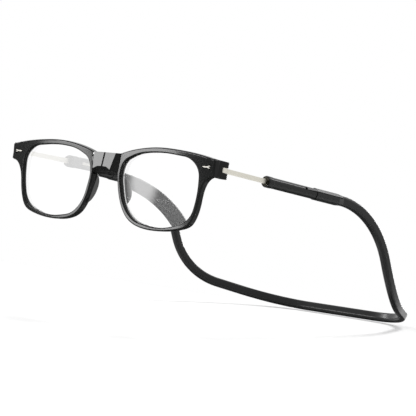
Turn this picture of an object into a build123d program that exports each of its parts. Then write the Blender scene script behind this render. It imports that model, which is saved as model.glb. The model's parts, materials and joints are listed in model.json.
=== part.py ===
from build123d import *
import math
import os

os.makedirs("parts", exist_ok=True)

# Magnetic bridge reading glasses with a neckband.
# They are drawn as worn: X to the wearer's left, Y back along the arms, Z up. The origin is in the middle of the
# bridge, level with the front faces of the rims. The last section lays them down on a table.

# Rim halves, in the plane of the front
half_front_width = 68.5
rim_height = 39.1
rim_depth = 3.8
rim_edge_radius = 0.7
rim_back_edge_radius = 0.9
end_corner_radius = 0.8
opening_edge_radius = 0.6
wrap_angle = 1.3
split_gap = 0.4

# Lens, a positive meniscus with a tongue that sits in the groove of the rim
lens_centre_thickness = 2.6
lens_front_radius = 160.0
lens_back_radius = 420.0
lens_front_setback = 0.4
lens_axis_across = 35.4
lens_axis_drop = 14.8
lens_side_clearance = 0.03
groove_depth = 0.7
groove_width = 0.9
groove_setback = 2.1
lens_tongue_clearance = 0.05

# Half bridge, proud of the rims, with a front facet that leans back and the magnet in its mating face
bridge_front_reach = 1.0
bridge_front_tilt_angle = 12.0
bridge_back_reach = 5.2
bridge_front_half_width = 7.3
bridge_root_half_width = 10.0
bridge_height = 10.5
bridge_top_rise = 0.9
bridge_mating_chamfer = 0.3
magnet_diameter = 4.6
magnet_thickness = 3.0
magnet_clearance = 0.02
magnet_drop = 4.2

# Nose pad, moulded on the nasal side of the rim
pad_reach = 4.8
pad_length = 15.0
pad_across = 11.0
pad_drop = 17.0
pad_thickness = 2.0
pad_root_depth = 1.4
pad_edge_radius = 0.8
pad_flare_angle = 22.0
pad_slope_angle = 17.0

# Hinge, with two lugs on the end piece around the eye of the rod
hinge_inset = 2.2
hinge_setback = 10.1
hinge_drop = 2.8
lug_width = 4.6
lug_height = 8.0
lug_slot_height = 2.9
lug_slot_wall = 3.5
lug_edge_radius = 0.3
screw_diameter = 1.6
screw_head_diameter = 2.8
screw_head_height = 0.7
screw_slot_width = 0.45
screw_slot_depth = 0.3
screw_seat_clearance = 0.02
screw_running_clearance = 0.04
screw_tip_recess = 0.2

# Arrow rivet on the end piece
rivet_length = 5.8
rivet_height = 2.3
rivet_thickness = 1.0
rivet_proud = 0.2
rivet_clearance = 0.1
rivet_from_end = 4.9
rivet_drop = 1.9

# Arm direction, from the hinge pin
arm_splay_angle = 3.3
arm_pitch_angle = 6.1

# Steel rod, a flat sided bar with an eye in front and a spigot at the back
rod_height = 2.3
rod_width = 1.6
rod_edge_radius = 0.45
rod_shown_length = 25.7
rod_hidden_length = 22.0
rod_travel_out = 3.0
eye_diameter = 4.2
stop_diameter = 3.2
stop_length = 3.0
spigot_diameter = 1.2
spigot_clearance = 0.02

# Arm tube with a slot on the wearer's side and a guide ring in its mouth
tube_diameter = 5.3
tube_length = 54.0
tube_bore_diameter = 3.3
rod_bore_diameter = 2.8
tube_end_wall = 2.0
collar_diameter = 5.6
collar_length = 3.8
collar_edge_radius = 0.5
slot_width = 1.5
slot_start = 5.0
slot_length = 32.0
ring_length = 2.5
ring_diameter = 4.2
ring_flange_diameter = 4.5
ring_flange_thickness = 0.3
ring_clearance = 0.02
rod_guide_clearance = 0.05

# Clip strip that locks the tube into the sleeve of the neckband
clip_lead = 7.4
clip_length = 26.5
clip_width = 1.5
clip_thickness = 1.0
clip_proud = 0.3
clip_angle = 35.0
clip_clearance = 0.05
notch_length = 1.4

# Neckband: a sleeve over the tube, then one band of rounded section down and round the neck
sleeve_diameter = 5.9
sleeve_overlap = 15.3
sleeve_tail = 1.5
sleeve_clearance = 0.02
band_height = 5.0
band_width = 4.0
band_corner_radius = 1.5
sleeve_corner_share = 0.466
shoulder_reach = 113.6
band_drop = 47.0
band_drop_back = 22.0
band_drop_out = 0.8
neck_run_back = 55.0
neck_run_down = 13.5
neck_half_width = 46.7
shoulder_radius = 50.0
nape_entry_radius = 42.0
nape_radius = 38.0

# Cuts run past the faces that they cut by this much, and joined pieces reach this far into each other
overrun = 1.0
settle_steps = 6

# Outlines of one half, as shares of half_front_width and rim_height, from the middle of the bridge
top_outline_shares = [
    (0.123, 0.015), (0.206, 0.062), (0.292, 0.096), (0.473, 0.134), (0.665, 0.126), (0.851, 0.092), (1.0, 0.042),
]
lower_outline_shares = [
    (0.997, -0.162), (0.937, -0.202), (0.9, -0.304), (0.878, -0.495), (0.848, -0.666), (0.816, -0.749),
    (0.733, -0.815), (0.512, -0.865), (0.366, -0.844), (0.247, -0.755), (0.174, -0.585), (0.138, -0.402),
    (0.123, -0.256),
]
opening_corner_shares = [
    (0.173, -0.062), (0.314, 0.048), (0.52, 0.08), (0.777, 0.041), (0.865, -0.093), (0.867, -0.391),
    (0.82, -0.703), (0.565, -0.843), (0.304, -0.772), (0.198, -0.586), (0.145, -0.243),
]
opening_arc_share = 0.48

# Arrow outline as shares of rivet_length and rivet_height, tip towards the nose
arrow_shares = [
    (-0.5, 0.0), (-0.26, 0.27), (0.06, 0.18), (0.3, 0.5), (0.5, 0.44), (0.2, 0.0),
    (0.5, -0.44), (0.3, -0.5), (0.06, -0.18), (-0.26, -0.27),
]

# Half bridge sections from front to back, each as shares of its half width and of bridge_height below its top
bridge_front_shares = [(1.0, 0.0), (0.78, 0.79), (0.4, 0.67), (0.0, 0.655)]
bridge_middle_shares = [(1.0, 0.0), (0.86, 0.95), (0.45, 0.84), (0.0, 0.83)]
bridge_back_shares = [(1.0, 0.0), (0.88, 1.04), (0.5, 1.0), (0.0, 1.0)]


def on_front(shares):
    return [(across * half_front_width, up * rim_height) for across, up in shares]


# Front frame: local X across the rims, local Y up, local Z forward, turned by the wrap of the front
wrap = math.radians(wrap_angle)
front = Plane(
    origin=(0, 0, 0), x_dir=(math.cos(wrap), math.sin(wrap), 0), z_dir=(math.sin(wrap), -math.cos(wrap), 0)
)

# Arm frame: origin on the hinge pin, local Y back along the rod, local Z along the pin
splay = math.radians(arm_splay_angle)
pitch = math.radians(arm_pitch_angle)
arm_direction = Vector(math.tan(splay), 1, -math.tan(pitch)).normalized()
arm_side = arm_direction.cross(Vector(0, 0, 1)).normalized()
arm_up = arm_side.cross(arm_direction)
hinge_point = Vector(half_front_width - hinge_inset, hinge_setback, -hinge_drop)
arm = Plane(origin=hinge_point, x_dir=arm_side, z_dir=arm_up)


def across_arm(distance):
    """Plane square to the arm at a distance behind the hinge pin: local X to the side, local Y up."""
    return Plane(origin=hinge_point + arm_direction * distance, x_dir=arm_side, z_dir=-arm_direction)


def arc_radii(corners, arc_share):
    """Radius at each corner of a closed outline whose arcs take a share of the shorter run beside them."""
    radii = []
    for index, corner in enumerate(corners):
        here = Vector(*corner)
        before = Vector(*corners[index - 1]) - here
        after = Vector(*corners[(index + 1) % len(corners)]) - here
        shorter = min(before.length, after.length)
        radii.append(arc_share * shorter * math.tan(math.radians(before.get_angle(after) / 2)))
    return radii


# Outline of the lens opening, tangent arcs with short straight runs between them
opening_corners = on_front(opening_corner_shares)
with BuildSketch() as opening:
    with BuildLine():
        FilletPolyline(*opening_corners, radius=arc_radii(opening_corners, opening_arc_share), close=True)
    make_face()

# Outline of the arrow rivet, round its own middle
with BuildSketch() as arrow:
    with BuildLine():
        Polyline(*[(along * rivet_length, up * rivet_height) for along, up in arrow_shares], close=True)
    make_face()


def bridge_section(forward, half_width, shares, tilt_angle=0):
    """One section of the half bridge, in the plane of the front or leaning back by an angle."""
    first = split_gap / 2
    corners = [(first, bridge_top_rise)]
    for across, down in shares:
        corners.append((first + across * (half_width - first), bridge_top_rise - down * bridge_height))
    with BuildSketch(Plane.XZ.offset(forward).rotated((-tilt_angle, 0, 0))) as section:
        with BuildLine():
            Polyline(*corners, close=True)
        make_face()
    return section.sketch


bridge_sections = [
    bridge_section(bridge_front_reach, bridge_front_half_width, bridge_front_shares, bridge_front_tilt_angle),
    bridge_section(0, bridge_root_half_width, bridge_middle_shares),
    bridge_section(-bridge_back_reach, bridge_root_half_width, bridge_back_shares),
]


# Nose pad, a flared blade that grows out of the back of the rim
flare = math.radians(pad_flare_angle)
slope = math.radians(pad_slope_angle)
pad_plane = Plane(
    origin=(pad_across, rim_depth, -pad_drop),
    x_dir=(math.sin(flare), math.cos(flare), 0),
    z_dir=(math.cos(flare) * math.cos(slope), -math.sin(flare) * math.cos(slope), math.cos(flare) * math.sin(slope)),
)
with BuildPart() as nose_pad:
    with BuildSketch(pad_plane):
        with BuildLine():
            blade = ThreePointArc((-pad_root_depth, pad_length / 2), (pad_reach, 0), (-pad_root_depth, -pad_length / 2))
            Line(blade @ 1, blade @ 0)
        make_face()
    extrude(amount=pad_thickness / 2, both=True)
    fillet(nose_pad.edges().filter_by(GeomType.CIRCLE), pad_edge_radius)

# Hinge lugs, a block round the pin with a slot for the eye of the rod
lug_root = hinge_setback - rim_depth / 2
slot_floor = hinge_setback - rim_depth - lug_slot_wall
with BuildPart() as lugs:
    with BuildSketch(arm.offset(-lug_height / 2)):
        Circle(lug_width / 2)
        with Locations((0, -lug_root / 2)):
            Rectangle(lug_width, lug_root)
    extrude(amount=lug_height)
    fillet(lugs.edges().filter_by(GeomType.CIRCLE), lug_edge_radius)
    with BuildSketch(arm.offset(-lug_slot_height / 2)):
        with Locations((0, (lug_width - slot_floor) / 2)):
            Rectangle(lug_width + 2 * overrun, lug_width + slot_floor)
    extrude(amount=lug_slot_height, mode=Mode.SUBTRACT)

# Rim half with its half bridge, nose pad and lugs in one moulding
rivet_plane = front.shift_origin(front.from_local_coords((half_front_width - rivet_from_end, -rivet_drop, 0)))

with BuildPart() as rim_left:
    with BuildSketch(front.offset(-rim_depth)):
        with BuildLine():
            top = Spline(*on_front(top_outline_shares))
            low = Spline(*on_front(lower_outline_shares))
            Line(top @ 1, low @ 0)
            Line(low @ 1, top @ 0)
        make_face()
        fillet(vertices().sort_by(Axis.X)[-2:], end_corner_radius)
    extrude(amount=rim_depth)
    fillet(rim_left.faces().sort_by(Axis.Y)[0].edges().filter_by(GeomType.BSPLINE), rim_edge_radius)
    fillet(rim_left.faces().sort_by(Axis.Y)[-1].edges().filter_by(GeomType.BSPLINE), rim_back_edge_radius)
    add(nose_pad.part)
    with BuildSketch(front.offset(overrun)):
        add(opening.sketch)
    extrude(amount=-rim_depth - 2 * overrun, mode=Mode.SUBTRACT)
    fillet(rim_left.faces().sort_by(Axis.Y)[0].inner_wires()[0].edges(), opening_edge_radius)
    with BuildSketch(front.offset(-groove_setback)):
        add(opening.sketch)
        offset(amount=groove_depth)
    extrude(amount=-groove_width, mode=Mode.SUBTRACT)
    loft(bridge_sections, ruled=True)
    chamfer(rim_left.faces().sort_by(Axis.X)[0].edges(), bridge_mating_chamfer)
    add(lugs.part)
    with Locations(arm.offset(lug_height / 2)):
        CounterBoreHole(
            screw_diameter / 2 + screw_seat_clearance,
            screw_head_diameter / 2 + screw_seat_clearance,
            screw_head_height,
            lug_height + overrun,
        )
    with BuildSketch(rivet_plane):
        add(arrow.sketch)
        offset(amount=rivet_clearance)
    extrude(amount=-(rivet_thickness - rivet_proud), mode=Mode.SUBTRACT)
    magnet_plane = Plane.YZ.offset(split_gap / 2)
    magnet_spot = ((bridge_back_reach - bridge_front_reach) / 2, bridge_top_rise - magnet_drop)
    with BuildSketch(magnet_plane):
        with Locations(magnet_spot):
            Circle(magnet_diameter / 2 + magnet_clearance)
    extrude(amount=magnet_thickness + magnet_clearance, mode=Mode.SUBTRACT)

# Magnet, flush with the mating face
with BuildPart() as magnet_left:
    with BuildSketch(magnet_plane):
        with Locations(magnet_spot):
            Circle(magnet_diameter / 2)
    extrude(amount=magnet_thickness)

# Arrow rivet in its pocket
with BuildPart() as rivet_left:
    with BuildSketch(rivet_plane.offset(rivet_proud)):
        add(arrow.sketch)
    extrude(amount=-rivet_thickness)

# Lens between two spheres, with the tongue that the groove holds
lens_axis = (lens_axis_across, -lens_axis_drop)
front_centre = front.from_local_coords((*lens_axis, -lens_front_setback - lens_front_radius))
back_centre = front.from_local_coords((*lens_axis, -lens_front_setback - lens_centre_thickness - lens_back_radius))
with BuildPart() as lens_left:
    with BuildSketch(front):
        add(opening.sketch)
        offset(amount=-lens_side_clearance)
    extrude(amount=-rim_depth - overrun)
    with Locations(front_centre):
        Sphere(lens_front_radius, mode=Mode.INTERSECT)
    with Locations(back_centre):
        Sphere(lens_back_radius, mode=Mode.SUBTRACT)
    with BuildSketch(front.offset(-groove_setback - lens_tongue_clearance)):
        add(opening.sketch)
        offset(amount=groove_depth - lens_tongue_clearance)
        with BuildSketch(mode=Mode.SUBTRACT):
            add(opening.sketch)
            offset(amount=-groove_depth / 2)
    extrude(amount=-(groove_width - 2 * lens_tongue_clearance))

# Hinge screw through both lugs and the eye
with BuildPart() as hinge_screw_left:
    with BuildSketch(arm.offset(screw_tip_recess - lug_height / 2)):
        Circle(screw_diameter / 2)
    extrude(amount=lug_height - screw_tip_recess)
    with BuildSketch(arm.offset(lug_height / 2 - screw_head_height)):
        Circle(screw_head_diameter / 2)
    extrude(amount=screw_head_height)
    with BuildSketch(arm.offset(lug_height / 2)):
        Rectangle(screw_head_diameter + overrun, screw_slot_width)
    extrude(amount=-screw_slot_depth, mode=Mode.SUBTRACT)

# Steel rod with its eye and spigot
rod_length = rod_shown_length + rod_hidden_length
with BuildPart() as rod_left:
    with BuildSketch(across_arm(rod_length)):
        RectangleRounded(rod_width, rod_height, rod_edge_radius)
    extrude(amount=rod_length)
    with BuildSketch(arm.offset(-rod_height / 2)):
        Circle(eye_diameter / 2)
    extrude(amount=rod_height)
    with BuildSketch(arm.offset(-rod_height)):
        Circle(screw_diameter / 2 + screw_running_clearance)
    extrude(amount=2 * rod_height, mode=Mode.SUBTRACT)
    with BuildSketch(across_arm(rod_length + stop_length)):
        Circle(spigot_diameter / 2)
    extrude(amount=stop_length)

# Stop on the spigot, a bead that slides in the tube
with BuildPart() as rod_stop_left:
    with BuildSketch(across_arm(rod_length + stop_length)):
        Circle(stop_diameter / 2)
    extrude(amount=stop_length)
    fillet(rod_stop_left.edges(), rod_edge_radius)
    with BuildSketch(across_arm(rod_length + stop_length + overrun)):
        Circle(spigot_diameter / 2 + spigot_clearance)
    extrude(amount=stop_length + 2 * overrun, mode=Mode.SUBTRACT)

# Guide ring in the mouth of the tube, with a hole that fits the bar
with BuildPart() as guide_ring_left:
    with BuildSketch(across_arm(rod_shown_length + ring_length)):
        Circle(ring_diameter / 2)
    extrude(amount=ring_length)
    with BuildSketch(across_arm(rod_shown_length)):
        Circle(ring_flange_diameter / 2)
    extrude(amount=ring_flange_thickness)
    with BuildSketch(across_arm(rod_shown_length + ring_length + overrun)):
        RectangleRounded(
            rod_width + 2 * rod_guide_clearance, rod_height + 2 * rod_guide_clearance, rod_edge_radius
        )
    extrude(amount=ring_length + ring_flange_thickness + 2 * overrun, mode=Mode.SUBTRACT)

# Clip frame: local X back along the arm, local Y out from its axis, at an angle above the outer side
clip_turn = math.radians(clip_angle)
clip_across = arm_side * math.sin(clip_turn) - arm_up * math.cos(clip_turn)
clip_plane = Plane(origin=hinge_point, x_dir=arm_direction, z_dir=clip_across)
sleeve_front = rod_shown_length + tube_length - sleeve_overlap
clip_front = sleeve_front - clip_lead
clip_back = clip_front + clip_length
clip_top = sleeve_diameter / 2 + clip_proud
clip_floor = clip_top - clip_thickness

# Groove for the clip, open in front of it as a notch
groove_floor = clip_floor - clip_clearance
with BuildPart() as clip_groove:
    with BuildSketch(clip_plane):
        with BuildLine():
            Polyline(
                (clip_front - notch_length, groove_floor),
                (clip_back + clip_clearance, groove_floor),
                (clip_back + clip_clearance, clip_top + overrun),
                (clip_front - notch_length, clip_top + overrun),
                close=True,
            )
        make_face()
    extrude(amount=clip_width / 2 + clip_clearance, both=True)

# Clip strip, low in front and proud of the sleeve behind
with BuildPart() as clip_left:
    with BuildSketch(clip_plane):
        with BuildLine():
            Polyline(
                (clip_front, clip_floor),
                (clip_back, clip_floor),
                (clip_back, clip_top),
                (sleeve_front, clip_top),
                (clip_front, tube_diameter / 2 + clip_proud / 2),
                close=True,
            )
        make_face()
    extrude(amount=clip_width / 2, both=True)
    chamfer(clip_left.faces().sort_by(Axis(hinge_point, clip_plane.y_dir))[-1].edges(), clip_proud / 2)

# Arm tube with its collar and inner slot; its bore narrows in front, where the stop ends the rod's way out
stop_shoulder = rod_length - rod_travel_out
with BuildPart() as collar:
    with BuildSketch(across_arm(rod_shown_length + collar_length)):
        Circle(collar_diameter / 2)
    extrude(amount=collar_length)
    fillet(collar.edges(), collar_edge_radius)
with BuildPart() as arm_tube_left:
    with BuildSketch(across_arm(rod_shown_length + tube_length)):
        Circle(tube_diameter / 2)
    extrude(amount=tube_length)
    add(collar.part)
    with BuildSketch(across_arm(rod_shown_length)):
        Circle(ring_diameter / 2 + ring_clearance)
    extrude(amount=-ring_length, mode=Mode.SUBTRACT)
    with BuildSketch(across_arm(rod_shown_length + tube_length - tube_end_wall)):
        Circle(tube_bore_diameter / 2)
    extrude(amount=rod_shown_length + tube_length - tube_end_wall - stop_shoulder, mode=Mode.SUBTRACT)
    with BuildSketch(across_arm(stop_shoulder + overrun)):
        Circle(rod_bore_diameter / 2)
    extrude(amount=stop_shoulder - rod_shown_length + 2 * overrun, mode=Mode.SUBTRACT)
    with BuildSketch(across_arm(rod_shown_length + slot_start + slot_length)):
        with Locations((-tube_diameter / 2, 0)):
            Rectangle(tube_diameter, slot_width)
    extrude(amount=slot_length, mode=Mode.SUBTRACT)
    add(clip_groove.part, mode=Mode.SUBTRACT)

# Neckband: sleeve, taper and half of the band, then the same mirrored
sleeve_back = rod_shown_length + tube_length + sleeve_tail
shoulder = hinge_point + arm_direction * shoulder_reach
nape_entry = shoulder + Vector(band_drop_out, band_drop_back, -band_drop)
nape_corner = Vector(neck_half_width, nape_entry.Y + neck_run_back, nape_entry.Z - neck_run_down)
nape_middle = Vector(0, nape_corner.Y, nape_corner.Z)
shoulder_turn = arm_direction.get_angle(nape_entry - shoulder)
band_front = shoulder_reach - shoulder_radius * math.tan(math.radians(shoulder_turn / 2))
band_start = hinge_point + arm_direction * band_front
with BuildPart() as neckband:
    with BuildSketch(across_arm(sleeve_back)):
        Circle(sleeve_diameter / 2)
    extrude(amount=sleeve_back - sleeve_front)
    with BuildSketch(across_arm(sleeve_back)):
        RectangleRounded(sleeve_diameter, sleeve_diameter, sleeve_corner_share * sleeve_diameter)
    with BuildSketch(across_arm(band_front)):
        RectangleRounded(band_width, band_height, band_corner_radius)
    loft()
    with BuildLine() as route:
        FilletPolyline(
            shoulder - arm_direction * (shoulder_reach - band_front + overrun),
            shoulder,
            nape_entry,
            nape_corner,
            nape_middle,
            radius=[shoulder_radius, nape_entry_radius, nape_radius],
        )
    with BuildSketch(across_arm(band_front - overrun)):
        RectangleRounded(band_width, band_height, band_corner_radius)
    sweep(path=route.wires()[0])
    with BuildSketch(across_arm(sleeve_front)):
        Circle(tube_diameter / 2 + sleeve_clearance)
    extrude(amount=-sleeve_overlap - sleeve_clearance, mode=Mode.SUBTRACT)
    add(clip_groove.part, mode=Mode.SUBTRACT)
    mirror(about=Plane.YZ)


def mirrored(left):
    """The right piece, a mirror image of the left one."""
    with BuildPart() as right:
        mirror(left.part, about=Plane.YZ)
    return right


left_pieces = {
    "rim": rim_left,
    "lens": lens_left,
    "magnet": magnet_left,
    "rivet": rivet_left,
    "hinge_screw": hinge_screw_left,
    "rod": rod_left,
    "rod_stop": rod_stop_left,
    "guide_ring": guide_ring_left,
    "clip": clip_left,
    "arm_tube": arm_tube_left,
}
pieces = {"neckband": neckband}
for name, left in left_pieces.items():
    pieces[name + "_left"] = left
    pieces[name + "_right"] = mirrored(left)

# Resting attitude: the arms are tipped up until the rims and the back of the neckband touch the table together
tip = 0.0
for step in range(settle_steps):
    tipped = Location((0, 0, 0), (tip, 0, 0))
    rims = rim_left.part.moved(tipped).bounding_box()
    band = neckband.part.moved(tipped).bounding_box()
    tip += math.degrees(math.atan2(rims.min.Z - band.min.Z, band.max.Y - rims.min.Y))
whole = Compound([piece.part.moved(tipped) for piece in pieces.values()]).bounding_box()
on_table = Location((0, -whole.center().Y, -whole.min.Z), (tip, 0, 0))

for name, piece in pieces.items():
    placed = piece.part.moved(on_table)
    placed.label = name
    export_step(placed, f"parts/{name}.step")
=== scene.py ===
# Magnetic bridge reading glasses with a neckband: the finishes, the reshaped rivets and tube mouths, the stage and the
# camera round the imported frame
import json
import math

import bmesh
import bpy
from bpy.props import FloatProperty, FloatVectorProperty, PointerProperty
from mathutils import Matrix, Vector


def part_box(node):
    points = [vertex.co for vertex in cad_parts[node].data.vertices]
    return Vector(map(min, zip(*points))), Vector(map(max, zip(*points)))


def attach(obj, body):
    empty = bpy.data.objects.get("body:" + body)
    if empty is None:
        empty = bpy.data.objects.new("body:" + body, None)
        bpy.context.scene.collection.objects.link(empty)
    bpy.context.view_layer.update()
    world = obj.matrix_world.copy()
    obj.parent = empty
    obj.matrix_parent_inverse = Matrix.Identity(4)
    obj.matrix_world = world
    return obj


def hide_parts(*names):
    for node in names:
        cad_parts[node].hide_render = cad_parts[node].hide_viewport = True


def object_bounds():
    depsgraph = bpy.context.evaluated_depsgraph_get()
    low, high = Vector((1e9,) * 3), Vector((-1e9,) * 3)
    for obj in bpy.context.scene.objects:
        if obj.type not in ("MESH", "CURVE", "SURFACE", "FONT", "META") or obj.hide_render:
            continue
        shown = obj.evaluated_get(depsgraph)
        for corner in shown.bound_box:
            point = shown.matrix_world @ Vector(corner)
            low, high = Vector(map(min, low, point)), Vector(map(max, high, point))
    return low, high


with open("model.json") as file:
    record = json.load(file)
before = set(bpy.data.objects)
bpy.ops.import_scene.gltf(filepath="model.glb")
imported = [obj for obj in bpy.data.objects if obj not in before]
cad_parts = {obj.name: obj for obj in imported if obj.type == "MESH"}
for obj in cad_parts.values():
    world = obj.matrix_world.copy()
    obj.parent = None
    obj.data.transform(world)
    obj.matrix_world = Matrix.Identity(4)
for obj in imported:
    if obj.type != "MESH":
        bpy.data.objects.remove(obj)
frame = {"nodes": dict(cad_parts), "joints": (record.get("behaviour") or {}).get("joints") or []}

bl_info = {
    "name": "Neckband reading glasses",
    "version": (1, 0, 0),
    "blender": (4, 5, 0),
    "location": "3D View > Sidebar > Glasses",
    "description": "Finishes, stage and camera for magnetic bridge reading glasses",
    "category": "Object",
}

cad_low, cad_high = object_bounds()
SIDES = {"left": 1, "right": -1}
JOINTS = {joint["name"]: joint for joint in frame["joints"]}
hinge_place = Vector(JOINTS["front_hinge_left"]["pos_m"])
rod_axis = JOINTS["rod_slide_left"]["axis"]

# The worn glasses have X to the wearer's left, Y back and Z up. These are the hinge pin of their left half, the slope
# of the arms and the turn of each half of the front. On the table the glasses rest tipped back from that.
WORN_HINGE = Vector((0.0663, 0.0101, -0.0028))
ARM_PITCH = math.radians(6.1)
FRONT_WRAP = math.radians(1.3)
REST_TIP = ARM_PITCH + math.atan2(rod_axis[2], rod_axis[1]) - math.copysign(math.pi, rod_axis[2])

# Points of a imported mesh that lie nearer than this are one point
MERGE_DISTANCE = 0.000002

# Length and height of a slim rivet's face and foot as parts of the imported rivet's, and the angle from which an edge
# stays sharp
RIVET_FACE = (0.86, 0.52)
RIVET_FOOT = (0.96, 0.8)
RIVET_SHARP_ANGLE = 12

# How far the mouths of the arm tubes are moved back, the part of the arm before the bore's step that moves along, and
# the angle from which an edge stays sharp
MOUTH_SHIFT = 0.0036
FRONT_PART = 0.040
MOUTH_SHARP_ANGLE = 14

# Painted reflections on the lenses, white glows that stand in for a bright reflection: middle on the worn glasses,
# reach, and strength at each of the two surfaces
RIGHT_PAINTED_REFLECTION = (
    ((-0.036, 0.002, -0.010), (0.060, 0.05, 0.040), 0.36),
)
LEFT_PAINTED_REFLECTION = (
    ((0.035, 0.002, -0.015), (0.200, 0.20, 0.200), 0.02),
    ((0.0245, 0.002, -0.011), (0.0125, 0.05, 0.018), 0.30),
    ((0.014, 0.002, -0.010), (0.014, 0.05, 0.030), 0.06),
)

# The scale of the broad unevenness of a polish, as a part of the fine grain's
BROAD_GRAIN = 0.08

# How squarely a face points down where it starts to be dull and where it is quite dull, as a cosine
DULL_RANGE = (0.45, 0.8)

# The part of a painted reflection's reach that has its full strength
REFLECTION_CORE = 0.35

# The place on the worn glasses that the lamps face
LAMP_TARGET = (0, 0.004, -0.012)

# The soft sun: azimuth, elevation and the angle that it fills, in degrees
SUN_AZIMUTH, SUN_ELEVATION, SUN_WIDTH = 190, 52, 14

# Pieces that some lamps light alone: those of each side, and single ones
LIT_PIECES = {
    "rims": (("rim_",), ()),
    "black_plastic": (("rim_", "arm_tube_", "clip_"), ("neckband",)),
}

# Lamps: azimuth and elevation in degrees, width and height in metres, radiance, and what they light if not all. The
# line lamps draw the light lines on the rims' flat fronts, and the lamps behind those on the arms and the neckband.
LAMPS = (
    ("bridge_lamp", -44.0, 19.0, 0.36, 0.20, 21.0, None),
    ("side_strip", -90.0, 20.0, 0.12, 0.70, 16.0, None),
    ("near_line", -39.8, -0.6, 0.075, 0.12, 23.0, "rims"),
    ("far_line", -49.5, -0.6, 0.056, 0.12, 13.0, "rims"),
    ("arm_strip", 162.0, 38.0, 0.12, 0.50, 7.0, "black_plastic"),
    ("back_lamp", 197.0, 8.0, 0.12, 0.50, 10.0, "black_plastic"),
)


def worn_direction(vector):
    """A direction on the worn glasses, turned to how they rest on the table."""
    return Matrix.Rotation(REST_TIP, 3, "X") @ Vector(vector)


def worn_place(point):
    """A place on the worn glasses, moved to how they rest on the table."""
    return hinge_place + worn_direction(Vector(point) - WORN_HINGE)


def aim(azimuth, elevation):
    """Unit vector towards a place seen at an azimuth from the front and an elevation, on the worn glasses."""
    level = math.cos(elevation)
    return Vector((math.sin(azimuth) * level, -math.cos(azimuth) * level, math.sin(elevation)))


def front_axes(side):
    """Across, up and forward directions of a rim's front face, on the resting glasses."""
    turn = FRONT_WRAP * side
    across = worn_direction((math.cos(turn) * side, math.sin(turn) * side, 0))
    forward = worn_direction((math.sin(turn), -math.cos(turn), 0))
    return across, worn_direction((0, 0, 1)), forward


# Settings
class CameraSettings(bpy.types.PropertyGroup):
    """Where the photograph was taken from, measured on the worn glasses."""

    azimuth: FloatProperty(
        name="Azimuth", description="Turn from the front towards the wearer's left", subtype="ANGLE",
        default=math.radians(41.4),
    )
    elevation: FloatProperty(
        name="Elevation", description="Height above the horizontal", subtype="ANGLE", default=math.radians(1.0)
    )
    roll: FloatProperty(
        name="Roll", description="Turn of the picture about the line of sight", subtype="ANGLE",
        default=math.radians(5.4),
    )
    distance: FloatProperty(name="Distance", description="From the target", unit="LENGTH", default=0.815)
    target: FloatVectorProperty(
        name="Target", description="Point in the middle of the picture", subtype="TRANSLATION",
        default=(0.0136, 0.0619, -0.0218),
    )
    focal_length: FloatProperty(name="Focal length", description="For the 36 mm sensor", default=140.19)


class StageSettings(bpy.types.PropertyGroup):
    """Floor, background and lamps."""

    floor_size: FloatProperty(name="Floor size", description="Side of the floor", unit="LENGTH", default=6.0)
    floor_color: FloatVectorProperty(
        name="Floor", description="Colour of the floor", subtype="COLOR", default=(0.86, 0.86, 0.86)
    )
    floor_glow: FloatProperty(
        name="Floor glow", description="Part of the floor's white that shadows don't take", default=0.1
    )
    world_light: FloatProperty(name="World light", description="Strength of the light from all round", default=0.62)
    sun_strength: FloatProperty(name="Sun", description="Strength of the light that casts the shadows", default=1.5)
    lamp_distance: FloatProperty(
        name="Lamp distance", description="From the glasses to each lamp", unit="LENGTH", default=1.2
    )


class FinishSettings(bpy.types.PropertyGroup):
    """Colours of the glasses."""

    frame_black: FloatVectorProperty(
        name="Front", description="Polished plastic of the rims", subtype="COLOR", default=(0.0026, 0.0030, 0.0028)
    )
    band_black: FloatVectorProperty(
        name="Neckband", description="Satin plastic of the neckband", subtype="COLOR", default=(0.0045, 0.0050, 0.0052)
    )
    tube_black: FloatVectorProperty(
        name="Arm tubes", description="Plastic of the arm tubes", subtype="COLOR", default=(0.0035, 0.0040, 0.0040)
    )
    rod_steel: FloatVectorProperty(
        name="Rods", description="Bright satin steel", subtype="COLOR", default=(0.66, 0.64, 0.57)
    )
    rivet_steel: FloatVectorProperty(
        name="Rivets", description="Polished metal", subtype="COLOR", default=(0.86, 0.84, 0.77)
    )
    ring_steel: FloatVectorProperty(
        name="Guide rings", description="Dull metal in the tubes' mouths", subtype="COLOR",
        default=(0.016, 0.0155, 0.012),
    )
    screw_steel: FloatVectorProperty(
        name="Screws", description="Dark plated steel", subtype="COLOR", default=(0.10, 0.10, 0.105)
    )
    magnet_nickel: FloatVectorProperty(
        name="Magnets", description="Nickel plating", subtype="COLOR", default=(0.62, 0.61, 0.58)
    )


# Pieces that replace packed ones
def select_only(obj):
    """Make one object the only selected and active one."""
    bpy.ops.object.select_all(action="DESELECT")
    obj.select_set(True)
    bpy.context.view_layer.objects.active = obj


def reshaped(node, name, body, material, move, sharp_angle):
    """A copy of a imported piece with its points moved, which stands for that piece."""
    shape = bmesh.new()
    shape.from_mesh(frame["nodes"][node].data)
    bmesh.ops.remove_doubles(shape, verts=shape.verts, dist=MERGE_DISTANCE)
    for vertex in shape.verts:
        vertex.co = move(vertex.co)
    mesh = bpy.data.meshes.new(name)
    shape.to_mesh(mesh)
    shape.free()
    piece = bpy.data.objects.new(name, mesh)
    bpy.context.scene.collection.objects.link(piece)
    select_only(piece)
    bpy.ops.object.shade_smooth_by_angle(angle=math.radians(sharp_angle))
    even = piece.modifiers.new("even_normals", "WEIGHTED_NORMAL")
    even.keep_sharp = True
    bpy.ops.object.modifier_apply(modifier=even.name)
    piece.data.materials.clear()
    piece.data.materials.append(material)
    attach(piece, body)
    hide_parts(node)
    return piece


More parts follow.
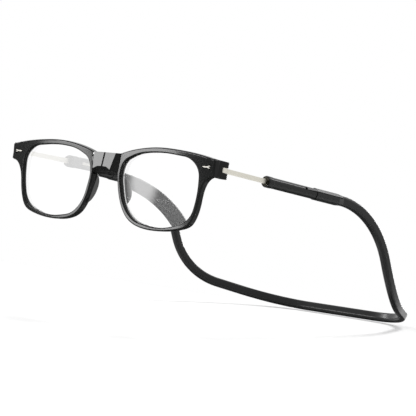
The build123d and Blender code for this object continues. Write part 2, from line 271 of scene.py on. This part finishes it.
def slim_rivet(side, material):
    """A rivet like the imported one, slimmer in its recess and with sloping flanks."""
    across, up, forward = front_axes(SIDES[side])
    low, high = (Vector(corner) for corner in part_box("rivet_" + side))
    middle = (low + high) / 2
    points = frame["nodes"]["rivet_" + side].data.vertices
    front = max((vertex.co - middle).dot(forward) for vertex in points)

    def slimmer(point):
        offset = point - middle
        along, rise, depth = offset.dot(across), offset.dot(up), offset.dot(forward)
        length, height = RIVET_FACE if depth > front - MERGE_DISTANCE else RIVET_FOOT
        return middle + across * (along * length) + up * (rise * height) + forward * depth

    return reshaped(
        "rivet_" + side, "slim_rivet_" + side, "front_" + side, material, slimmer, RIVET_SHARP_ANGLE
    )


def short_front(side, tube_material, ring_material):
    """An arm tube and its guide ring with the mouth further back, where the photograph shows it."""
    pin = Vector(JOINTS["front_hinge_" + side]["pos_m"])
    back = -Vector(JOINTS["rod_slide_" + side]["axis"])

    def pulled_back(point):
        return point + back * MOUTH_SHIFT if (point - pin).dot(back) < FRONT_PART else point

    for piece, slot, material in (
        ("arm_tube_", "tube_black", tube_material),
        ("guide_ring_", "ring_steel", ring_material),
    ):
        node = piece + side
        reshaped(node, "short_" + node, "band", material, pulled_back, MOUTH_SHARP_ANGLE)


# Nodes
def feed(links, value, socket):
    """Give a socket another node's result, or a number."""
    if isinstance(value, bpy.types.NodeSocket):
        links.new(value, socket)
    else:
        socket.default_value = value


def math_node(nodes, links, operation, first, second):
    """A math node fed by results or numbers, and its own result."""
    node = nodes.new("ShaderNodeMath")
    node.operation = operation
    feed(links, first, node.inputs[0])
    feed(links, second, node.inputs[1])
    return node.outputs[0]


def vector_node(nodes, links, operation, *vectors):
    """A vector math node fed by results."""
    node = nodes.new("ShaderNodeVectorMath")
    node.operation = operation
    for vector, socket in zip(vectors, node.inputs):
        links.new(vector, socket)
    return node


def noise(nodes, links, place, scale, detail):
    """Noise over a place, at a scale that is a result or a number."""
    node = nodes.new("ShaderNodeTexNoise")
    node.inputs["Detail"].default_value = detail
    links.new(place, node.inputs["Vector"])
    feed(links, scale, node.inputs["Scale"])
    return node.outputs["Fac"]


def soft_step(nodes, links, value, first, last, low, high):
    """A value turned into low up to the first number and high from the last, with a smooth change between them."""
    ramp = nodes.new("ShaderNodeMapRange")
    ramp.interpolation_type = "SMOOTHSTEP"
    for label, number in (("From Min", first), ("From Max", last), ("To Min", low), ("To Max", high)):
        ramp.inputs[label].default_value = number
    links.new(value, ramp.inputs["Value"])
    return ramp.outputs[0]


# Node groups
def node_group(name, inputs, outputs):
    """An empty shader group with named inputs and their values, and named number outputs, and its two ends."""
    group = bpy.data.node_groups.new(name, "ShaderNodeTree")
    for label, value in inputs.items():
        kind = "NodeSocketVector" if isinstance(value, tuple) else "NodeSocketFloat"
        group.interface.new_socket(label, in_out="INPUT", socket_type=kind).default_value = value
    for label in outputs:
        group.interface.new_socket(label, in_out="OUTPUT", socket_type="NodeSocketFloat")
    return group, group.nodes.new("NodeGroupInput"), group.nodes.new("NodeGroupOutput")


def grain_group():
    """Fine uneven polish: a tone, a roughness and a height that vary over the surface."""
    group, start, end = node_group(
        "surface_grain", {"Scale": 900.0, "Roughness": 0.3, "Spread": 0.1}, ("Tone", "Roughness", "Height")
    )
    nodes, links = group.nodes, group.links
    place = nodes.new("ShaderNodeTexCoord").outputs["Object"]
    fine = noise(nodes, links, place, start.outputs["Scale"], detail=4.0)
    broad_scale = math_node(nodes, links, "MULTIPLY", start.outputs["Scale"], BROAD_GRAIN)
    broad = noise(nodes, links, place, broad_scale, detail=2.0)
    centred = math_node(nodes, links, "SUBTRACT", broad, 0.5)
    spread = math_node(nodes, links, "MULTIPLY", centred, start.outputs["Spread"])
    links.new(math_node(nodes, links, "ADD", start.outputs["Roughness"], spread), end.inputs["Roughness"])
    links.new(math_node(nodes, links, "ADD", spread, 1.0), end.inputs["Tone"])
    links.new(fine, end.inputs["Height"])
    return group


def streak_group():
    """Fine lines drawn along one axis of the object, as brushing or extruding leaves them."""
    group, start, end = node_group("drawn_lines", {"Along": 40.0, "Across": 3000.0}, ("Lines",))
    nodes, links = group.nodes, group.links
    parts = nodes.new("ShaderNodeSeparateXYZ")
    links.new(nodes.new("ShaderNodeTexCoord").outputs["Object"], parts.inputs[0])
    joined = nodes.new("ShaderNodeCombineXYZ")
    for axis, scale in (("X", "Across"), ("Y", "Along"), ("Z", "Across")):
        stretched = math_node(nodes, links, "MULTIPLY", parts.outputs[axis], start.outputs[scale])
        links.new(stretched, joined.inputs[axis])
    links.new(noise(nodes, links, joined.outputs[0], 1.0, detail=3.0), end.inputs["Lines"])
    return group


def underside_group():
    """1 where a surface of the resting glasses faces down, and 0 where it faces forward or up."""
    group, start, end = node_group("underside", {"Down": (0, 0, -1)}, ("Mask",))
    nodes, links = group.nodes, group.links
    normal = nodes.new("ShaderNodeNewGeometry").outputs["Normal"]
    facing = vector_node(nodes, links, "DOT_PRODUCT", normal, start.outputs["Down"]).outputs["Value"]
    links.new(soft_step(nodes, links, facing, *DULL_RANGE, 0.0, 1.0), end.inputs["Mask"])
    return group


def patch_group():
    """A soft round patch about a point, 1 in its middle and 0 at its edge."""
    group, start, end = node_group("soft_patch", {"Middle": (0, 0, 0), "Size": (1, 1, 1)}, ("Mask",))
    nodes, links = group.nodes, group.links
    place = nodes.new("ShaderNodeTexCoord").outputs["Object"]
    away = vector_node(nodes, links, "SUBTRACT", place, start.outputs["Middle"]).outputs["Vector"]
    scaled = vector_node(nodes, links, "DIVIDE", away, start.outputs["Size"]).outputs["Vector"]
    distance = vector_node(nodes, links, "LENGTH", scaled).outputs["Value"]
    links.new(soft_step(nodes, links, distance, REFLECTION_CORE, 1.0, 1.0, 0.0), end.inputs["Mask"])
    return group


GROUPS = {}


def place_group(tree, maker, **values):
    """Places a shared group in a material with its own values, and builds it the first time."""
    if maker.__name__ not in GROUPS:
        GROUPS[maker.__name__] = maker()
    node = tree.nodes.new("ShaderNodeGroup")
    node.node_tree = GROUPS[maker.__name__]
    for label, value in values.items():
        node.inputs[label].default_value = value
    return node


# Materials
def new_material(name):
    """A node material, its tree and its Principled shader."""
    material = bpy.data.materials.new(name)
    material.use_nodes = True
    return material, material.node_tree, material.node_tree.nodes["Principled BSDF"]


def paint(obj, material):
    """Every slot of a piece takes the material."""
    for slot in obj.material_slots:
        slot.material = material
    if not obj.material_slots:
        obj.data.materials.append(material)


def toned(tree, color, tone):
    """A colour multiplied by a tone that varies over the surface."""
    mix = tree.nodes.new("ShaderNodeMix")
    mix.data_type = "RGBA"
    mix.blend_type = "MULTIPLY"
    mix.inputs["Factor"].default_value = 1.0
    mix.inputs["A"].default_value = (*color, 1.0)
    tree.links.new(tone, mix.inputs["B"])
    return mix.outputs["Result"]


def bumped(tree, height, depth, strength):
    """Normals from a height that varies over the surface."""
    bump = tree.nodes.new("ShaderNodeBump")
    bump.inputs["Distance"].default_value = depth
    bump.inputs["Strength"].default_value = strength
    tree.links.new(height, bump.inputs["Height"])
    return bump.outputs["Normal"]


def plastic(name, color, roughness, spread, grain_scale, bump_depth, ior):
    """Moulded plastic with an uneven polish, dull on the faces that point down."""
    material, tree, shader = new_material(name)
    grain = place_group(tree, grain_group, Scale=grain_scale, Roughness=roughness, Spread=spread)
    tree.links.new(toned(tree, color, grain.outputs["Tone"]), shader.inputs["Base Color"])
    unpolished = place_group(tree, underside_group, Down=worn_direction((0, 0, -1)))
    dull = math_node(tree.nodes, tree.links, "MAXIMUM", grain.outputs["Roughness"], unpolished.outputs["Mask"])
    tree.links.new(dull, shader.inputs["Roughness"])
    tree.links.new(bumped(tree, grain.outputs["Height"], bump_depth, strength=0.5), shader.inputs["Normal"])
    shader.inputs["IOR"].default_value = ior
    return material


def metal(name, color, roughness, line_depth):
    """Metal with fine drawn lines along the arm."""
    material, tree, shader = new_material(name)
    grain = place_group(tree, grain_group, Scale=1500.0, Roughness=roughness, Spread=0.12)
    lines = place_group(tree, streak_group)
    tree.links.new(toned(tree, color, grain.outputs["Tone"]), shader.inputs["Base Color"])
    tree.links.new(grain.outputs["Roughness"], shader.inputs["Roughness"])
    tree.links.new(bumped(tree, lines.outputs["Lines"], line_depth, strength=0.6), shader.inputs["Normal"])
    shader.inputs["Metallic"].default_value = 1.0
    return material


def lens_glass(name, patches):
    """Clear lens plastic with a painted reflection, a soft white glow where the photograph shows one, which casts no
    dark shadow.
    """
    material, tree, shader = new_material(name)
    nodes, links = tree.nodes, tree.links
    shader.inputs["Roughness"].default_value = 0.0
    shader.inputs["IOR"].default_value = 1.45
    shader.inputs["Transmission Weight"].default_value = 1.0
    shader.inputs["Emission Strength"].default_value = 1.0
    # Painted reflection: the patches give a white glow, and the glass passes less light where it glows
    painted_glow = None
    for middle, size, strength in patches:
        patch = place_group(tree, patch_group, Middle=worn_place(middle), Size=size)
        part = math_node(nodes, links, "MULTIPLY", patch.outputs["Mask"], strength)
        painted_glow = part if painted_glow is None else math_node(nodes, links, "MAXIMUM", painted_glow, part)
    kept = math_node(nodes, links, "SUBTRACT", 1.0, painted_glow)
    for value, socket in (
        (painted_glow, shader.inputs["Emission Color"]),
        (math_node(nodes, links, "MULTIPLY", kept, kept), shader.inputs["Base Color"]),
    ):
        grey = nodes.new("ShaderNodeCombineColor")
        for channel in grey.inputs[:3]:
            links.new(value, channel)
        links.new(grey.outputs[0], socket)
    clear = nodes.new("ShaderNodeBsdfTransparent")
    path = nodes.new("ShaderNodeLightPath")
    mix = nodes.new("ShaderNodeMixShader")
    links.new(path.outputs["Is Shadow Ray"], mix.inputs["Fac"])
    links.new(shader.outputs[0], mix.inputs[1])
    links.new(clear.outputs[0], mix.inputs[2])
    links.new(mix.outputs[0], nodes["Material Output"].inputs["Surface"])
    return material


# Stage
def seen_directly(tree):
    """1 for rays from the camera, a mirror or glass, and 0 for the light that shades a surface."""
    path = tree.nodes.new("ShaderNodeLightPath")
    first = math_node(tree.nodes, tree.links, "MAXIMUM", path.outputs["Is Camera Ray"], path.outputs["Is Glossy Ray"])
    return math_node(tree.nodes, tree.links, "MAXIMUM", first, path.outputs["Is Transmission Ray"])


def floor_material(name, color, glow):
    """Pale floor that is white where it is lit, keeps shadows, and can't be seen from below."""
    material, tree, shader = new_material(name)
    nodes, links = tree.nodes, tree.links
    nodes.remove(shader)
    matt = nodes.new("ShaderNodeBsdfDiffuse")
    matt.inputs["Color"].default_value = (*color, 1.0)
    light = nodes.new("ShaderNodeEmission")
    links.new(math_node(nodes, links, "MULTIPLY", seen_directly(tree), glow), light.inputs["Strength"])
    added = nodes.new("ShaderNodeAddShader")
    links.new(matt.outputs[0], added.inputs[0])
    links.new(light.outputs[0], added.inputs[1])
    behind = nodes.new("ShaderNodeNewGeometry")
    mix = nodes.new("ShaderNodeMixShader")
    links.new(behind.outputs["Backfacing"], mix.inputs["Fac"])
    links.new(added.outputs[0], mix.inputs[1])
    links.new(nodes.new("ShaderNodeBsdfTransparent").outputs[0], mix.inputs[2])
    links.new(mix.outputs[0], nodes["Material Output"].inputs["Surface"])
    return material


def add_plane(name, corners, material):
    """A flat stage piece with the given corners, seen from the side that they turn round anticlockwise."""
    mesh = bpy.data.meshes.new(name)
    mesh.from_pydata([tuple(corner) for corner in corners], [], [tuple(range(len(corners)))])
    plane = bpy.data.objects.new(name, mesh)
    bpy.context.scene.collection.objects.link(plane)
    plane.data.materials.append(material)
    return plane


def object_group(name, objects):
    """A collection outside the scene, whose objects a lamp can light alone."""
    group = bpy.data.collections.new(name)
    for obj in objects:
        group.objects.link(obj)
    return group


def lit_pieces(name):
    """The group of the pieces that a lamp lights alone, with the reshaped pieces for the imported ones."""
    sided, single = LIT_PIECES[name]
    nodes = [piece + side for piece in sided for side in SIDES] + list(single)
    return object_group(name, [bpy.data.objects.get("short_" + node) or frame["nodes"][node] for node in nodes])


def add_light(data, azimuth, elevation, receivers):
    """A light from an azimuth and elevation in degrees on the worn glasses, and the direction towards it."""
    direction = worn_direction(aim(math.radians(azimuth), math.radians(elevation)))
    lamp = bpy.data.objects.new(data.name, data)
    lamp.rotation_euler = direction.to_track_quat("Z", "Y").to_euler()
    bpy.context.scene.collection.objects.link(lamp)
    if receivers:
        lamp.light_linking.receiver_collection = receivers
    return lamp, direction


def add_sun(strength, receivers):
    """A soft sun that gives its receivers their shadows."""
    data = bpy.data.lights.new("shadow_sun", "SUN")
    data.energy = strength
    data.angle = math.radians(SUN_WIDTH)
    add_light(data, SUN_AZIMUTH, SUN_ELEVATION, receivers)


def add_lamp(name, azimuth, elevation, width, height, radiance, receivers):
    """A soft lamp that faces the glasses and that the camera and the lenses don't show."""
    data = bpy.data.lights.new(name, "AREA")
    data.shape = "RECTANGLE"
    data.size, data.size_y = width, height
    data.energy = radiance * math.pi * width * height
    lamp, direction = add_light(data, azimuth, elevation, receivers)
    lamp.location = worn_place(LAMP_TARGET) + direction * bpy.context.scene.glasses_stage.lamp_distance
    lamp.visible_camera = False
    lamp.visible_transmission = False


def add_world(light):
    """A world that looks white and lights the glasses at its own strength."""
    world = bpy.data.worlds.new("white_room")
    bpy.context.scene.world = world
    world.use_nodes = True
    tree = world.node_tree
    background = tree.nodes["Background"]
    background.inputs["Color"].default_value = (1.0, 1.0, 1.0, 1.0)
    mix = tree.nodes.new("ShaderNodeMapRange")
    mix.inputs["To Min"].default_value = light
    mix.inputs["To Max"].default_value = 1.0
    tree.links.new(seen_directly(tree), mix.inputs["Value"])
    tree.links.new(mix.outputs[0], background.inputs["Strength"])


class GLASSES_OT_stage(bpy.types.Operator):
    """Add the floor, the background and the lamps"""

    bl_idname = "glasses.stage"
    bl_label = "Stage"

    def execute(self, context):
        settings = context.scene.glasses_stage
        half = settings.floor_size / 2
        white = floor_material("pale_floor", settings.floor_color, settings.floor_glow)
        floor = add_plane("floor", [(-half, -half, 0), (half, -half, 0), (half, half, 0), (-half, half, 0)], white)

        # The lamps in front stand lower than the floor, because they are placed by the worn attitude
        floor.visible_glossy = False
        floor.visible_shadow = False

        # The photograph shows the front raised, so its table is a slope under the resting glasses, up to the neckband
        back_edge = Vector((0, cad_high.y, 0))
        down_slope = worn_direction((0, -1, 0)) * half
        across = Vector((half, 0, 0))
        front_edge = [back_edge - across + down_slope, back_edge + across + down_slope]
        table = add_plane("photo_table", front_edge + [back_edge + across, back_edge - across], white)

        add_sun(settings.sun_strength, object_group("ground", [floor, table]))
        add_world(settings.world_light)
        groups = {name: lit_pieces(name) for name in LIT_PIECES}
        for *lamp, lights in LAMPS:
            add_lamp(*lamp, groups.get(lights))

        context.scene.view_settings.view_transform = "Standard"
        return {"FINISHED"}


class GLASSES_OT_camera(bpy.types.Operator):
    """Add the camera at the photograph's viewing angle"""

    bl_idname = "glasses.camera"
    bl_label = "Camera"

    def execute(self, context):
        settings = context.scene.glasses_camera
        back = aim(settings.azimuth, settings.elevation)
        level = Vector((math.cos(settings.azimuth), math.sin(settings.azimuth), 0))
        upright = back.cross(level)
        right = level * math.cos(settings.roll) + upright * math.sin(settings.roll)
        up = upright * math.cos(settings.roll) - level * math.sin(settings.roll)
        axes = Matrix([worn_direction(axis) for axis in (right, up, back)]).transposed()
        data = bpy.data.cameras.new("photo_camera")
        data.lens = settings.focal_length
        camera = bpy.data.objects.new("photo_camera", data)
        place = worn_place(Vector(settings.target) + back * settings.distance)
        camera.matrix_world = Matrix.Translation(place) @ axes.to_4x4()
        context.scene.collection.objects.link(camera)
        context.scene.camera = camera
        return {"FINISHED"}


class GLASSES_OT_front(bpy.types.Operator):
    """Finish the rims, lenses and magnets, and make the slim rivets"""

    bl_idname = "glasses.front"
    bl_label = "Front"

    def execute(self, context):
        colors = context.scene.glasses_finish
        polished = plastic(
            "polished_black", colors.frame_black,
            roughness=0.06, spread=0.03, grain_scale=1200.0, bump_depth=0.000002, ior=1.24,
        )
        bright = metal("polished_rivet", colors.rivet_steel, roughness=0.16, line_depth=0.000002)
        nickel = metal("nickel_plate", colors.magnet_nickel, roughness=0.2, line_depth=0.000002)
        # Each lens carries its own painted reflection, a white glow
        painted_reflection_lenses = {
            "right": lens_glass("clear_lens_right", RIGHT_PAINTED_REFLECTION),
            "left": lens_glass("clear_lens_left", LEFT_PAINTED_REFLECTION),
        }
        for side in SIDES:
            paint(frame["nodes"]["rim_" + side], polished)
            slim_rivet(side, bright)
            paint(frame["nodes"]["magnet_" + side], nickel)
            paint(frame["nodes"]["lens_" + side], painted_reflection_lenses[side])
        return {"FINISHED"}


class GLASSES_OT_arms(bpy.types.Operator):
    """Finish the hinge screws, rods and clips, and make the short tubes and guide rings"""

    bl_idname = "glasses.arms"
    bl_label = "Arms"

    def execute(self, context):
        colors = context.scene.glasses_finish
        rod = metal("satin_rod", colors.rod_steel, roughness=0.42, line_depth=0.000004)
        ring = metal("olive_ring", colors.ring_steel, roughness=0.3, line_depth=0.000003)
        screw = metal("dark_screw", colors.screw_steel, roughness=0.35, line_depth=0.000003)
        tube = plastic(
            "tube_black", colors.tube_black,
            roughness=0.16, spread=0.08, grain_scale=900.0, bump_depth=0.000004, ior=1.32,
        )
        for side in SIDES:
            short_front(side, tube, ring)
            for piece in ("clip_", "rod_stop_"):
                paint(frame["nodes"][piece + side], tube)
            paint(frame["nodes"]["rod_" + side], rod)
            paint(frame["nodes"]["hinge_screw_" + side], screw)
        return {"FINISHED"}


class GLASSES_OT_neckband(bpy.types.Operator):
    """Finish the neckband"""

    bl_idname = "glasses.neckband"
    bl_label = "Neckband"

    def execute(self, context):
        satin = plastic(
            "band_black", context.scene.glasses_finish.band_black,
            roughness=0.25, spread=0.08, grain_scale=800.0, bump_depth=0.000002, ior=1.32,
        )
        paint(frame["nodes"]["neckband"], satin)
        return {"FINISHED"}


class GLASSES_PT_panel(bpy.types.Panel):
    """Sizes, colours and steps of the glasses"""

    bl_label = "Glasses"
    bl_idname = "GLASSES_PT_panel"
    bl_space_type = "VIEW_3D"
    bl_region_type = "UI"
    bl_category = "Glasses"

    def draw(self, context):
        for key in SETTINGS:
            settings = getattr(context.scene, key)
            box = self.layout.box()
            for name in settings.__annotations__:
                box.prop(settings, name)
        for step in STEPS:
            self.layout.operator(step.bl_idname)


STEPS = (GLASSES_OT_camera, GLASSES_OT_front, GLASSES_OT_arms, GLASSES_OT_neckband, GLASSES_OT_stage)
SETTINGS = {
    "glasses_camera": CameraSettings,
    "glasses_stage": StageSettings,
    "glasses_finish": FinishSettings,
}


def register():
    """Register the settings, the steps and the panel."""
    for kind in (*SETTINGS.values(), *STEPS, GLASSES_PT_panel):
        bpy.utils.register_class(kind)
    for name, kind in SETTINGS.items():
        setattr(bpy.types.Scene, name, PointerProperty(type=kind))


def unregister():
    """Take the panel, the steps and the settings out again."""
    for name in SETTINGS:
        delattr(bpy.types.Scene, name)
    for kind in reversed((*SETTINGS.values(), *STEPS, GLASSES_PT_panel)):
        bpy.utils.unregister_class(kind)


def main():
    """Register the add-on and run its steps in order."""
    register()
    bpy.ops.glasses.camera()
    bpy.ops.glasses.front()
    bpy.ops.glasses.arms()
    bpy.ops.glasses.neckband()
    bpy.ops.glasses.stage()


if __name__ == "__main__":
    main()
